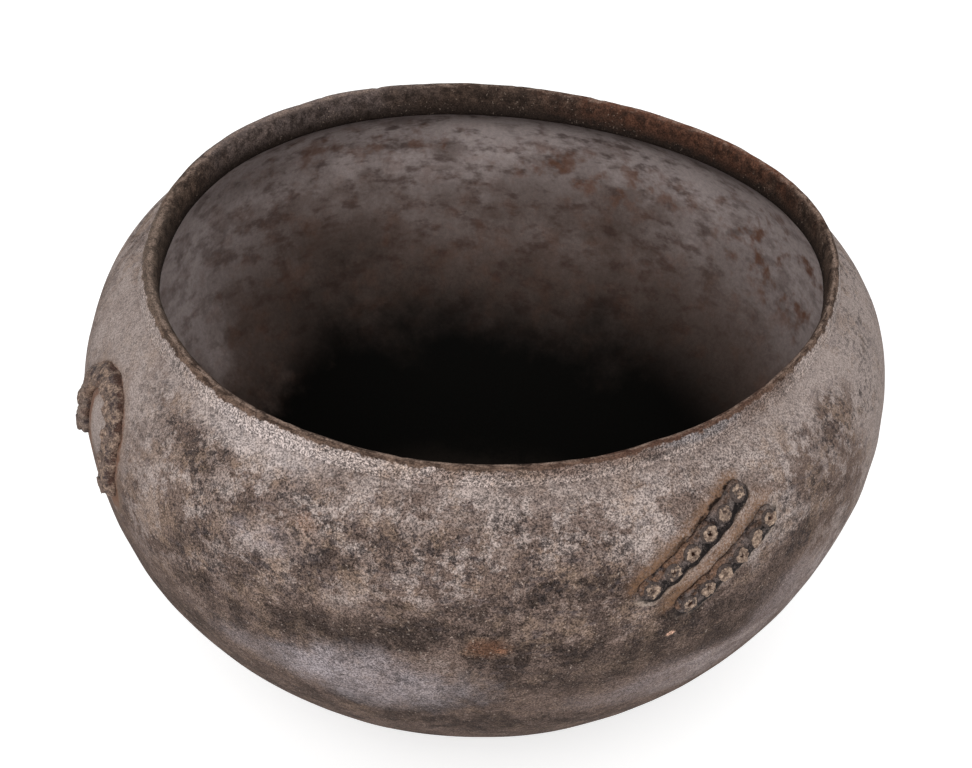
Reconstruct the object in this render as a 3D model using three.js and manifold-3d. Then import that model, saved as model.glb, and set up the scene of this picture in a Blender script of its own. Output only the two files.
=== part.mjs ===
// Hand-built pottery cooking pot: a round bowl, a shoulder that leans in, a thick lip,
// and raised strips of pricked knobs pressed onto the shoulder.
// Millimetres, +Z up. The origin is the middle of the flat patch under the bowl.
// The front of the pot faces -Y, and turns are counted in degrees from there towards +X.
import * as THREE from "three";
import { mergeVertices } from "three/addons/utils/BufferGeometryUtils.js";
import Module from "manifold-3d";

const wasm = await Module();
wasm.setup();

// Body, measured outside before the hand-made waves
const bellyRadius = 150;
const bellyHeight = 127;
const potHeight = 180.6;
const restingRadius = 44;
const neckRadius = 129;
const wallThickness = 7;
const floorThickness = 8;
const bowlHeight = 98;
const bowlFullness = 1.83; // 2 is an ellipse, more is squarer
const insideFullness = bowlFullness + 0.2;
const shoulderFullness = 2.7; // power of the curve from the belly in to the neck

// Lip, a coil laid on the neck and pressed over to the inside, where it slopes down
const lipHeight = 7;
const lipLean = 1.8;
const lipWidth = 5.4;
const lipRounding = 2.4;
const lipUndercut = 1.2;

// Waves that the maker's hands leave, as lobes round the pot, size and place of one crest
const bellyWaves = [
  { lobes: 2, size: 0.0054, crest: 50 },
  { lobes: 3, size: 0.0163, crest: -22 },
  { lobes: 4, size: 0.008, crest: 33 },
];
const mouthWaves = [
  { lobes: 1, size: 0.0086, crest: 87 },
  { lobes: 2, size: 0.0146, crest: 16 },
  { lobes: 3, size: 0.0167, crest: -20 },
];
const lipWidthWaves = [{ lobes: 1, size: 0.34, crest: -135 }]; // as a share of the width
const rimHeightWaves = [
  { lobes: 1, size: 1.1, crest: 150 },
  { lobes: 2, size: 0.4, crest: -67 },
  { lobes: 3, size: 0.9, crest: -25 },
];

// Raised strips and their knobs
const slipGap = 0.3; // slip between two pieces of clay
const stripWidth = 9.4;
const stripHeight = 2.5;
const stripEnd = 4.6; // from the last knob to the end of the strip
const knobRadius = 2.9;
const knobTopRadius = 2.3;
const knobStand = 0.9; // above the crest of its strip
const knobSunk = 1.1; // below the crest of its strip
const prickRadius = 0.9;
const prickDepth = 1.2;

// Paired bars, one above the other and both rising to the right, the lower one further right
const pairTurns = [31.6, 211.6];
const pairBelowNeck = 28.8;
const pairSpacing = 15.8;
const pairShift = 4;
const barTilt = 32.4;
const upperBarLength = 51.6;
const lowerBarLength = 47;
const barKnobs = 6;

// Horseshoe strips, open at the bottom, with the right leg longer
const horseshoeTurns = [-64.7, 128];
const horseshoeBelowNeck = 28.8;
const horseshoeRadius = 17;
const horseshoeLength = 90;
const horseshoeLegDifference = 3;
const horseshoeKnobs = 9;

// How finely the round pieces are faceted
const bodyFacets = 60;
const knobFacets = 9;
const nudge = 0.01;

const neckHeight = potHeight - lipHeight;
const bowlDepth = bellyHeight / (1 - (restingRadius / bellyRadius) ** bowlFullness) ** (1 / bowlFullness);
const radians = THREE.MathUtils.degToRad;

// Outside radius of the body at a height
function outsideRadius(height) {
  if (height < bellyHeight) {
    const drop = (bellyHeight - height) / bowlDepth;
    return bellyRadius * (1 - drop ** bowlFullness) ** (1 / bowlFullness);
  }
  const climb = (height - bellyHeight) / (neckHeight - bellyHeight);
  return bellyRadius - (bellyRadius - neckRadius) * climb ** shoulderFullness;
}

// Change of the outside radius for each millimetre of height
function outsideSlope(height) {
  return (outsideRadius(height + nudge) - outsideRadius(height - nudge)) / (2 * nudge);
}

// Point of the outline at a height, moved square to it by depth into the clay
function outlinePoint(height, depth) {
  const outward = new THREE.Vector2(1, -outsideSlope(height)).normalize();
  return new THREE.Vector2(outsideRadius(height), height).addScaledVector(outward, -depth);
}

// Points from one height to another on the bowl, closer together where it is flatter
function bowlRun(radius, depth, fullness, fromHeight, toHeight, steps) {
  const angleAt = (height) => Math.acos(((bellyHeight - height) / depth) ** (fullness / 2));
  const from = angleAt(fromHeight);
  const to = angleAt(toHeight);
  return Array.from({ length: steps + 1 }, (_, i) => {
    const angle = THREE.MathUtils.lerp(from, to, i / steps);
    const out = radius * Math.sin(angle) ** (2 / fullness);
    return new THREE.Vector2(out, bellyHeight - depth * Math.cos(angle) ** (2 / fullness));
  });
}

function outsideBowlRun(fromHeight, toHeight, steps) {
  return bowlRun(bellyRadius, bowlDepth, bowlFullness, fromHeight, toHeight, steps);
}

function insideBowlRun(fromHeight, toHeight, steps) {
  const depth = bellyHeight - floorThickness;
  return bowlRun(bellyRadius - wallThickness, depth, insideFullness, fromHeight, toHeight, steps);
}

// Points from the belly up to a height on the shoulder, without the belly's own point
function shoulderRun(toHeight, depth, steps) {
  return Array.from({ length: steps }, (_, i) => {
    const height = THREE.MathUtils.lerp(bellyHeight, toHeight, (i + 1) / steps);
    return outlinePoint(height, depth);
  });
}

function waveSum(waves, turn) {
  return waves.reduce((sum, wave) => sum + wave.size * Math.cos(wave.lobes * (turn - radians(wave.crest))), 0);
}

function turnOf(point) {
  return Math.atan2(point.x, -point.y);
}

// Moves a point of the true round pot to where the maker's hands left it
function outOfRound(point) {
  const turn = turnOf(point);
  const climb = (point.z - bellyHeight) / (potHeight - bellyHeight);
  const share = THREE.MathUtils.clamp(climb, 0, 1) ** 2;
  const stretch = THREE.MathUtils.lerp(waveSum(bellyWaves, turn), waveSum(mouthWaves, turn), share);
  point.x *= 1 + stretch;
  point.y *= 1 + stretch;
  point.z += share * waveSum(rimHeightWaves, turn);
  return point;
}

// Moves every vertex of a geometry by a rule
function reshape(geometry, rule) {
  const place = geometry.getAttribute("position");
  const point = new THREE.Vector3();
  for (let i = 0; i < place.count; i++) {
    rule(point.fromBufferAttribute(place, i), i);
    place.setXYZ(i, point.x, point.y, point.z);
  }
  geometry.computeVertexNormals();
  return geometry;
}

// A ring or bowl of clay turned from an outline of radius and height
function turned(outline, facets) {
  return new THREE.LatheGeometry(outline, facets).rotateX(Math.PI / 2);
}

function bodyPiece(outline) {
  return reshape(turned(outline, bodyFacets), outOfRound);
}

function baseBowl() {
  const outside = outsideBowlRun(0, bowlHeight, 9);
  const inside = insideBowlRun(floorThickness, bowlHeight, 9).reverse();
  return bodyPiece([new THREE.Vector2(0, 0), ...outside, ...inside]);
}

function shoulderWall() {
  const foot = bowlHeight + slipGap;
  const top = neckHeight - slipGap;
  const outside = [...outsideBowlRun(foot, bellyHeight, 3), ...shoulderRun(top, 0, 7)];
  const inside = [...insideBowlRun(foot, bellyHeight, 3), ...shoulderRun(top, wallThickness, 7)].reverse();
  return bodyPiece([...outside, ...inside, outside[0]]);
}

// Closed outline of the lip, from its slanted seat over the crown and down the inside
function lipOutline(width) {
  const seatOutside = outlinePoint(neckHeight, 0);
  const seatInside = outlinePoint(neckHeight, wallThickness);
  const alongWall = new THREE.Vector2(outsideSlope(neckHeight), 1).normalize();
  const step = seatInside.clone().addScaledVector(alongWall, lipUndercut);
  const outer = neckRadius - lipLean;
  const inner = outer - width;
  const crown = outer - width * 0.3;
  const crownEdge = outer - width * 0.8;
  return new THREE.Path()
    .moveTo(seatOutside.x, seatOutside.y)
    .lineTo(outer + lipRounding / 3, potHeight - lipRounding)
    .quadraticCurveTo(outer, potHeight, crown, potHeight)
    .quadraticCurveTo(crown - width * 0.3, potHeight, crownEdge, potHeight - lipRounding * 0.8)
    .lineTo(inner, step.y + lipRounding)
    .quadraticCurveTo(inner, step.y, inner + lipRounding / 2, step.y)
    .lineTo(step.x, step.y)
    .lineTo(seatInside.x, seatInside.y)
    .lineTo(seatOutside.x, seatOutside.y)
    .getPoints(3);
}

// The lip's outline follows its own width, which changes round the pot
function rimLip() {
  const mean = lipOutline(lipWidth);
  return reshape(turned(mean, bodyFacets), (point, i) => {
    const turn = turnOf(point);
    const outline = lipOutline(lipWidth * (1 + waveSum(lipWidthWaves, turn)));
    const { x: radius, y: height } = outline[i % mean.length];
    outOfRound(point.set(radius * Math.sin(turn), -radius * Math.cos(turn), height));
  });
}

// Height reached by going a distance up the wall from a height
function climbWall(fromHeight, distance) {
  const steps = 12;
  let height = fromHeight;
  for (let i = 0; i < steps; i++) height += distance / steps / Math.hypot(1, outsideSlope(height));
  return height;
}

// Bends a flat piece onto the wall: x along its route, y across it, z out of the clay
function pressOnWall(geometry, motif, route) {
  return reshape(geometry, (point) => {
    const spot = route(point.x);
    const across = spot.across - point.y * Math.sin(spot.heading);
    const up = spot.up + point.y * Math.cos(spot.heading);
    const turn = radians(motif.turn) + across / outsideRadius(motif.height);
    const place = outlinePoint(climbWall(motif.height, up), -point.z);
    outOfRound(point.set(place.x * Math.sin(turn), -place.x * Math.cos(turn), place.y));
  });
}

// Straight slanting route, moved square to itself by offset and along itself by shift
function barRoute(offset, shift) {
  const heading = radians(barTilt);
  return (along) => ({
    across: (along + shift) * Math.cos(heading) - offset * Math.sin(heading),
    up: (along + shift) * Math.sin(heading) + offset * Math.cos(heading),
    heading,
  });
}

// Route up the right leg, round the arch and down the left leg
function horseshoeRoute(along) {
  const arch = Math.PI * horseshoeRadius;
  const past = along + (arch - horseshoeLegDifference) / 2;
  if (past < 0) return { across: horseshoeRadius, up: past, heading: Math.PI / 2 };
  if (past > arch) return { across: -horseshoeRadius, up: arch - past, heading: -Math.PI / 2 };
  const angle = past / horseshoeRadius;
  return {
    across: horseshoeRadius * Math.cos(angle),
    up: horseshoeRadius * Math.sin(angle),
    heading: angle + Math.PI / 2,
  };
}

// Half-round strip of clay lying flat, with round ends
function flatStrip(length, steps) {
  const radius = stripWidth / 2;
  const strip = new THREE.CapsuleGeometry(radius, length - stripWidth, 3, 10, steps);
  strip.rotateZ(Math.PI / 2).scale(1, 1, stripHeight / radius);
  return reshape(strip, (point) => point.setZ(Math.max(point.z, 0) + slipGap));
}

const crestHeight = stripHeight + slipGap;

// Pellet of clay with a pricked top, standing where its strip's crest is
function flatKnob(along) {
  const foot = crestHeight - knobSunk;
  const top = crestHeight + knobStand;
  const outline = [
    new THREE.Vector2(0, foot),
    new THREE.Vector2(knobRadius, foot),
    new THREE.Vector2(knobRadius, crestHeight),
    new THREE.Vector2(knobTopRadius, top),
    new THREE.Vector2(prickRadius, top),
    new THREE.Vector2(0, top - prickDepth),
  ];
  return turned(outline, knobFacets).translate(along, 0, 0);
}

// Space that a pellet and its slip take out of the strip
function flatSocket(along) {
  const floor = crestHeight - knobSunk - slipGap;
  const open = crestHeight + knobStand;
  const outline = [
    new THREE.Vector2(0, floor),
    new THREE.Vector2(knobRadius + slipGap, floor),
    new THREE.Vector2(knobRadius + slipGap, open),
    new THREE.Vector2(0, open),
  ];
  return turned(outline, knobFacets).translate(along, 0, 0);
}

function toSolid(geometry) {
  const bare = geometry.clone();
  bare.deleteAttribute("normal");
  bare.deleteAttribute("uv");
  const merged = mergeVertices(bare);
  const vertProperties = merged.getAttribute("position").array;
  const triVerts = Uint32Array.from(merged.index.array);
  return new wasm.Manifold(new wasm.Mesh({ numProp: 3, vertProperties, triVerts }));
}

function toGeometry(solid) {
  const mesh = solid.getMesh();
  const geometry = new THREE.BufferGeometry();
  geometry.setAttribute("position", new THREE.BufferAttribute(mesh.vertProperties, 3));
  geometry.setIndex(new THREE.BufferAttribute(mesh.triVerts, 1));
  geometry.computeVertexNormals();
  return geometry;
}

function clay(colour, roughness) {
  return new THREE.MeshStandardMaterial({ color: colour, roughness, metalness: 0 });
}

const potClay = clay("#6f6259", 0.9);
const lipClay = clay("#4a3c33", 0.75);
const stripClay = clay("#2f2a26", 0.85);
const knobClay = clay("#a08a70", 0.9);

const pot = new THREE.Group();

function addPiece(name, geometry, material) {
  const piece = new THREE.Mesh(geometry, material);
  piece.name = name;
  pot.add(piece);
}

// A strip with a row of sockets, and a knob seated in each socket
function addStrip(name, motif, route, length, knobs, steps) {
  let strip = toSolid(pressOnWall(flatStrip(length, steps), motif, route));
  const reach = length / 2 - stripEnd;
  for (let i = 0; i < knobs; i++) {
    const along = THREE.MathUtils.lerp(-reach, reach, i / (knobs - 1));
    strip = strip.subtract(toSolid(pressOnWall(flatSocket(along), motif, route)));
    addPiece(`${name}_knob_${i + 1}`, pressOnWall(flatKnob(along), motif, route), knobClay);
  }
  addPiece(name, toGeometry(strip), stripClay);
}

function addPair(name, turn) {
  const motif = { turn, height: neckHeight - pairBelowNeck };
  const upperRoute = barRoute(pairSpacing / 2, -pairShift / 2);
  const lowerRoute = barRoute(-pairSpacing / 2, pairShift / 2);
  addStrip(`${name}_upper_bar`, motif, upperRoute, upperBarLength, barKnobs, 9);
  addStrip(`${name}_lower_bar`, motif, lowerRoute, lowerBarLength, barKnobs, 9);
}

function addHorseshoe(name, turn) {
  const motif = { turn, height: neckHeight - horseshoeBelowNeck };
  addStrip(name, motif, horseshoeRoute, horseshoeLength, horseshoeKnobs, 18);
}

addPiece("base_bowl", baseBowl(), potClay);
addPiece("shoulder_wall", shoulderWall(), potClay);
addPiece("rim_lip", rimLip(), lipClay);
addPair("front_pair", pairTurns[0]);
addPair("rear_pair", pairTurns[1]);
addHorseshoe("left_horseshoe", horseshoeTurns[0]);
addHorseshoe("right_horseshoe", horseshoeTurns[1]);

export default pot;
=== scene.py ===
from math import acos, atan2, copysign, cos, hypot, pi, radians, sin

import bmesh
import bpy
from mathutils import Matrix, Vector, noise


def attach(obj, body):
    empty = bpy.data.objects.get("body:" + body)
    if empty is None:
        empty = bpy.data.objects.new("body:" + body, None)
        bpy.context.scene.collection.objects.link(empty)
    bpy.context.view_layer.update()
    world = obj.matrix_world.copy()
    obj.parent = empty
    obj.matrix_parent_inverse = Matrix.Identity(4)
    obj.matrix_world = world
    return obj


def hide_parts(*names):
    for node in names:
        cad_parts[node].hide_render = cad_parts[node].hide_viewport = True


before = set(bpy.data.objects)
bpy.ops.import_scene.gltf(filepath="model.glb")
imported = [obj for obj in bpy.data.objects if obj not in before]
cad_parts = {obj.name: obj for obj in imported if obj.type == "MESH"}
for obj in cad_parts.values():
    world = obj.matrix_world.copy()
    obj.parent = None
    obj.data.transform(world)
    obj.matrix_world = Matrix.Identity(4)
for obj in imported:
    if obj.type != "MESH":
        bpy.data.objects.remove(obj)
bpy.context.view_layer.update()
scene = bpy.context.scene
scene.view_settings.view_transform = "Standard"


# Camera. It stands in front of the pot and looks down into the mouth,
# from the height and distance that the photograph was taken from.
camera_place = (0.002353, -0.652685, 0.584749)
camera_tip = 54.5
camera_roll = 1.486
camera_width = 26

camera_data = bpy.data.cameras.new("camera")
camera_data.sensor_fit = "HORIZONTAL"
camera_data.angle = radians(camera_width)
camera = bpy.data.objects.new("camera", camera_data)
camera.matrix_world = (
    Matrix.Translation(camera_place)
    @ Matrix.Rotation(radians(camera_tip), 4, "X")
    @ Matrix.Rotation(radians(camera_roll), 4, "Z")
)
scene.collection.objects.link(camera)
scene.camera = camera


# Body of the pot. Coils of coarse clay were built up on a pinched bowl and scraped into one wall,
# round-bottomed, fullest at the belly and leaning in to the neck. Firing left it grey-brown outside
# with pale ash and dark clouds, and cooking left it black with soot inside.
mm = 0.001
belly_radius = 150
belly_height = 127
pot_height = 180.6
resting_radius = 44
neck_radius = 129
wall_thickness = 7
floor_thickness = 8
bowl_fullness = 1.83
inside_fullness = bowl_fullness + 0.2
shoulder_fullness = 2.7
lip_height = 7
neck_height = pot_height - lip_height
bowl_depth = belly_height / (1 - (resting_radius / belly_radius) ** bowl_fullness) ** (1 / bowl_fullness)
nudge = 0.01  # half the step that a slope is measured over

# Lobes round the pot, size and the turn of one crest, as the maker's hands left them
belly_waves = [(2, 0.0054, 50), (3, 0.0163, -22), (4, 0.008, 33)]
mouth_waves = [(1, 0.0086, 87), (2, 0.0146, 16), (3, 0.0167, -20)]
rim_height_waves = [(1, 1.1, 150), (2, 0.4, -67), (3, 0.9, -25)]

# Low hollows and swellings of the wall, how long and how high they are
broad_lump_length = 42
broad_lump_height = 0.9
small_lump_length = 13
small_lump_height = 0.26
small_lump_shift = Vector((7, 3, 1))
lumps_start = 14  # they fade out below this height, so that the pot stands flat


def clamp(value):
    return max(0.0, min(1.0, value))


def between(low, high, share):
    return low + (high - low) * share


def outside_radius(height):
    if height < belly_height:
        drop = (belly_height - height) / bowl_depth
        return belly_radius * (1 - drop ** bowl_fullness) ** (1 / bowl_fullness)
    climb = (height - belly_height) / (neck_height - belly_height)
    return belly_radius - (belly_radius - neck_radius) * climb ** shoulder_fullness


def outside_slope(height):
    return (outside_radius(height + nudge) - outside_radius(height - nudge)) / (2 * nudge)


def outline_point(height, depth):
    """Radius and height of a point that lies depth inside the outline."""
    slope = outside_slope(height)
    length = hypot(1, slope)
    return outside_radius(height) - depth / length, height + depth * slope / length


def bowl_run(radius, depth, fullness, low, steps):
    """Points up a bowl from a low height to the belly, closer together where it is flatter."""
    start = acos(((belly_height - low) / depth) ** (fullness / 2))
    points = []
    for step in range(steps + 1):
        angle = between(start, pi / 2, step / steps)
        out = radius * sin(angle) ** (2 / fullness)
        points.append((out, belly_height - depth * cos(angle) ** (2 / fullness)))
    return points


def wave_sum(waves, turn):
    return sum(size * cos(lobes * (turn - radians(crest))) for lobes, size, crest in waves)


def lumps(point):
    """Low hollows and swellings that fingers and scraper leave, in millimetres."""
    broad = noise.noise(point / broad_lump_length)
    small = noise.noise(point / small_lump_length + small_lump_shift)
    return clamp(point.z / lumps_start) * (broad_lump_height * broad + small_lump_height * small)


def hand_made(radius, turn, height):
    """Moves a point of the true round pot to where the maker's hands left it."""
    point = Vector((radius * sin(turn), -radius * cos(turn), height))
    share = clamp((height - belly_height) / (pot_height - belly_height)) ** 2
    stretch = between(wave_sum(belly_waves, turn), wave_sum(mouth_waves, turn), share)
    stretch += lumps(point) / belly_radius
    point.x *= 1 + stretch
    point.y *= 1 + stretch
    point.z += share * wave_sum(rim_height_waves, turn)
    return point * mm


def spin_outline(outline, steps, marks):
    """Spins an outline of radius and height into a mesh that still carries each point's marks."""
    mesh = bmesh.new()
    layers = {name: mesh.verts.layers.float.new(name) for name in marks}
    points = [mesh.verts.new((out, 0, up)) for out, up in outline]
    for name, values in marks.items():
        for point, value in zip(points, values):
            point[layers[name]] = value
    edges = [mesh.edges.new(pair) for pair in zip(points, points[1:])]
    bmesh.ops.spin(mesh, geom=points + edges, cent=(0, 0, 0), axis=(0, 0, 1), angle=2 * pi,
                   steps=steps, use_merge=True)
    bmesh.ops.remove_doubles(mesh, verts=mesh.verts, dist=0.001)
    bmesh.ops.recalc_face_normals(mesh, faces=mesh.faces)
    return mesh


def finish_piece(name, mesh, material, nodes):
    """Turns a mesh into a smooth piece that stands for its solids."""
    bmesh.ops.recalc_face_normals(mesh, faces=mesh.faces)
    data = bpy.data.meshes.new(name)
    mesh.to_mesh(data)
    mesh.free()
    data.shade_smooth()
    data.materials.append(material)
    piece = bpy.data.objects.new(name, data)
    scene.collection.objects.link(piece)
    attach(piece, "root")
    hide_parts(*nodes)
    return piece


def tone(red, green, blue):
    """A colour as it looks on a screen, given to the shader as light."""
    linear = [((c / 255 + 0.055) / 1.055) ** 2.4 if c > 10 else c / 255 / 12.92 for c in (red, green, blue)]
    return (*linear, 1)


def feed(tree, socket, value):
    """Links a socket to another one or gives it a plain value."""
    if isinstance(value, bpy.types.NodeSocket):
        tree.links.new(value, socket)
    else:
        socket.default_value = value


def node(tree, kind, inputs=(), **settings):
    made = tree.nodes.new("ShaderNode" + kind)
    for key, value in settings.items():
        setattr(made, key, value)
    for key, value in dict(inputs).items():
        feed(tree, made.inputs[key], value)
    return made


def calc(tree, operation, *values, limit=False):
    return node(tree, "Math", dict(enumerate(values)), operation=operation, use_clamp=limit).outputs[0]


def plus(tree, first, second):
    return calc(tree, "ADD", first, second)


def minus(tree, first, second):
    return calc(tree, "SUBTRACT", first, second)


def times(tree, first, second, limit=False):
    return calc(tree, "MULTIPLY", first, second, limit=limit)


def sway(tree, value, noise_value, strength, middle=0.5):
    """Moves a value up or down with noise that swings about its middle."""
    return calc(tree, "MULTIPLY_ADD", minus(tree, noise_value, middle), strength, value)


def blend(tree, share, first, second, kind="MIX"):
    """Mixes two colours by a share."""
    made = node(tree, "Mix", data_type="RGBA", blend_type=kind)
    colour_mix_sockets = (0, 6, 7)
    for socket, value in zip(colour_mix_sockets, (share, first, second)):
        feed(tree, made.inputs[socket], value)
    return made.outputs[2]


def cover(tree, colour, mask, share, paint, limit=False):
    """Paints over a colour where a mask lies, by a share of the mask."""
    return blend(tree, times(tree, mask, share, limit), colour, paint)


def soft_step(tree, value, low, high, bottom=0.0, top=1.0):
    """Goes softly from bottom to top as the value goes from low to high."""
    inputs = {"Value": value, "From Min": low, "From Max": high, "To Min": bottom, "To Max": top}
    return node(tree, "MapRange", inputs, interpolation_type="SMOOTHSTEP").outputs[0]


def speckle(tree, place, size, detail=2.0, rough=0.6):
    """Noise whose grains are about size millimetres across."""
    inputs = {"Vector": place, "Scale": 1 / (size * mm), "Detail": detail, "Roughness": rough}
    return node(tree, "TexNoise", inputs).outputs["Fac"]


def mark(tree, name):
    """A mark that the points of the mesh carry."""
    return node(tree, "Attribute", attribute_name=name).outputs["Fac"]


def new_group(name, inputs, outputs, input_kind="Float"):
    group = bpy.data.node_groups.new(name, "ShaderNodeTree")
    for label in inputs:
        group.interface.new_socket(label, in_out="INPUT", socket_type="NodeSocket" + input_kind)
    for label in outputs:
        group.interface.new_socket(label, in_out="OUTPUT", socket_type="NodeSocketFloat")
    return group, group.nodes.new("NodeGroupInput").outputs, group.nodes.new("NodeGroupOutput").inputs


def use_group(tree, group, inputs):
    made = tree.nodes.new("ShaderNodeGroup")
    made.node_tree = group
    for key, value in inputs.items():
        feed(tree, made.inputs[key], value)
    return made.outputs


def clay_grain_group():
    """Grit of coarse clay: grains under a millimetre, the pits between them and their relief."""
    group, inside, out = new_group("clay grain", ["Place"], ["Grain", "Pits", "Flecks", "Relief"], "Vector")
    place = inside["Place"]
    fine = speckle(group, place, 0.68, 1, 1.0)
    coarse = speckle(group, place, 1.9, 2, 0.6)
    fine_share = 0.86
    grain = plus(group, times(group, fine, fine_share), times(group, coarse, 1 - fine_share))
    spread = node(group, "MapRange", {"Value": grain, "From Min": 0.37, "From Max": 0.63}).outputs[0]
    group.links.new(spread, out["Grain"])
    group.links.new(soft_step(group, speckle(group, place, 1.15, 2, 0.6), 0.4, 0.33), out["Pits"])
    group.links.new(soft_step(group, speckle(group, place, 0.95, 2, 0.5), 0.64, 0.72), out["Flecks"])
    group.links.new(grain, out["Relief"])
    return group


def soft_patch_group():
    """A ragged patch on the wall, by its turn in degrees and height in millimetres."""
    group, inside, out = new_group(
        "soft patch", ["Turn", "Height", "Rough", "At turn", "At height", "Wide", "Tall"], ["Mask"])
    round_way = calc(group, "WRAP", minus(group, inside["Turn"], inside["At turn"]), -180, 180)
    across = calc(group, "DIVIDE", round_way, inside["Wide"])
    up = calc(group, "DIVIDE", minus(group, inside["Height"], inside["At height"]), inside["Tall"])
    reach = calc(group, "SQRT", plus(group, times(group, across, across), times(group, up, up)))
    ragged = times(group, minus(group, inside["Rough"], 0.5), 1.6)
    group.links.new(soft_step(group, plus(group, reach, ragged), 1.25, 0.35), out["Mask"])
    return group


clay_grain = clay_grain_group()
soft_patch = soft_patch_group()


def new_clay(name):
    """A matte clay with its shader, the place of each spot on the pot and its grit."""
    material = bpy.data.materials.new(name)
    material.use_nodes = True
    tree = material.node_tree
    shader = tree.nodes["Principled BSDF"]
    shader.inputs["Specular IOR Level"].default_value = 0.06
    place = node(tree, "TexCoord").outputs["Object"]
    return material, tree, shader, place, use_group(tree, clay_grain, {"Place": place})


def give_relief(tree, shader, height, distance):
    bump = node(tree, "Bump", {"Height": height, "Distance": distance * mm, "Strength": 1.0})
    tree.links.new(bump.outputs["Normal"], shader.inputs["Normal"])


def turn_and_height(tree, place):
    """Turn round the pot in degrees and height in millimetres."""
    apart = node(tree, "SeparateXYZ", {"Vector": place}).outputs
    turn = calc(tree, "ARCTAN2", apart["X"], times(tree, apart["Y"], -1))
    return times(tree, turn, 180 / pi), times(tree, apart["Z"], 1000)


def patch_mask(tree, spot, at_turn, at_height, wide, tall):
    """Where a patch lies, for a spot's turn, height and roughness."""
    turn, height, rough = spot
    return use_group(tree, soft_patch, {
        "Turn": turn, "Height": height, "Rough": rough,
        "At turn": at_turn, "At height": at_height, "Wide": wide, "Tall": tall})["Mask"]


def add_patches(tree, value, spot, patches):
    """Adds patches of turn, height, width, tallness and strength to a value."""
    for *spread, strength in patches:
        value = calc(tree, "MULTIPLY_ADD", patch_mask(tree, spot, *spread), strength, value)
    return value


# Pale ash, or dark clouds where the strength is negative: turn, height, degrees wide, millimetres
# tall and strength. The broad pale patches at turns -80, -62, 60 and 86 are painted light as well as
# ash: they brighten the flanks and the low right, where light wraps round from the sides and the floor.
ash_and_flank_light_patches = [
    (-33, 175, 13, 9, 0.4),
    (-47, 177, 12, 8, 0.24),
    (-19, 177, 9, 4, 0.22),
    (20, 178, 26, 3.5, -0.26),
    (47, 178, 9, 7, -0.3),
    (-29, 169, 5, 4, -0.2),
    (-20, 171, 6, 3, -0.12),
    (-8, 167, 8, 4, -0.14),
    (22, 168, 4, 3, -0.2),
    (36, 166, 6, 5, 0.14),
    (-62, 134, 24, 44, 0.12),
    (-80, 150, 20, 44, 0.12),
    (-65, 144, 6, 13, 0.3),
    (86, 140, 26, 60, 0.42),
    (68, 172, 14, 12, 0.2),
    (20, 150, 4, 7, 0.2),
    (38, 138, 10, 14, 0.16),
    (22, 156, 7, 9, 0.12),
    (47, 141, 4, 4, 0.3),
    (46, 148, 3.5, 5, 0.25),
    (36, 92, 16, 4, 0.3),
    (-38, 163, 9, 8, -0.3),
    (-30, 155, 8, 7, -0.26),
    (-20, 150, 8, 5, -0.22),
    (-7, 160, 9, 3.5, -0.2),
    (15, 146, 8, 10, -0.24),
    (62, 160, 9, 9, -0.2),
    (51, 153, 5, 9, -0.14),
    (72, 150, 12, 30, 0.14),
    (46, 130, 6, 10, -0.2),
    (60, 108, 18, 26, 0.3),
    (28, 82, 22, 12, 0.16),
    (15, 124, 12, 10, 0.1),
    (13, 152, 8, 12, -0.14),
    (44, 78, 26, 14, 0.12),
    (-10, 122, 20, 9, -0.1),
    (-28, 119, 17, 9, -0.1),
    (-45, 94, 14, 12, -0.14),
    (8, 128, 26, 16, -0.14),
    (24, 108, 26, 18, -0.14),
    (0, 76, 30, 16, -0.12),
    (150, 150, 26, 20, -0.2),
    (-120, 130, 22, 24, -0.16),
]
# Places that hands have rubbed smooth, where the mottling is weaker
calm_patches = [
    (-72, 150, 26, 40, 0.8),
    (46, 174, 34, 9, 0.8),
    (14, 174, 16, 8, 0.6),
    (-14, 172, 14, 8, 0.4),
    (46, 118, 14, 20, 0.7),
    (86, 120, 24, 50, 0.7),
    (-50, 100, 16, 24, 0.4),
    (-18, 118, 24, 12, 0.5),
    (-10, 128, 22, 12, 0.45),
    (24, 151, 6, 7, 0.5),
    (28, 106, 26, 26, 0.6),
]
# Blue-grey film, mostly low on the wall
blue_patches = [
    (-13, 98, 14, 18, 0.88),
    (-27, 99, 12, 10, 0.45),
    (-28, 150, 7, 6, 0.4),
    (100, 92, 18, 16, 0.6),
    (32, 84, 18, 14, 0.45),
    (52, 102, 12, 18, 0.4),
]
# Places where soot sits in small dots
soot_patches = [
    (9, 164, 4, 3, 1.0),
    (11, 157, 5, 3.5, 1.0),
    (17, 151, 3.5, 5, 1.0),
    (15, 142, 4, 5, 0.8),
    (62, 158, 7, 8, 0.8),
    (47, 131, 5, 7, 0.8),
    (41, 117, 5, 7, 0.6),
    (-34, 157, 7, 5, 0.7),
    (-45, 164, 5, 6, 0.7),
    (-20, 161, 7, 3, 0.6),
]
# Rusty spots, fresh chips and grey smears, the same with a colour
spots = [
    (2, 121, 3.2, 5, 0.42, tone(122, 84, 62)),
    (3.5, 119.5, 0.9, 1.4, 0.45, tone(152, 108, 84)),
    (26, 115.5, 0.8, 1.2, 1.0, tone(226, 182, 158)),
    (-22, 158, 1.6, 3, 0.3, tone(150, 112, 88)),
    (-32, 174.5, 13, 7, 0.5, tone(186, 174, 171)),
    (35, 177.5, 9, 3, 0.6, tone(120, 117, 119)),
    (27, 174.5, 3, 1.6, 0.7, tone(66, 58, 56)),
]


def shade(tree, colour, amount):
    """Makes a colour darker or lighter by an amount that is 1 where nothing changes."""
    return blend(tree, 1, colour, amount, kind="MULTIPLY")


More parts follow.
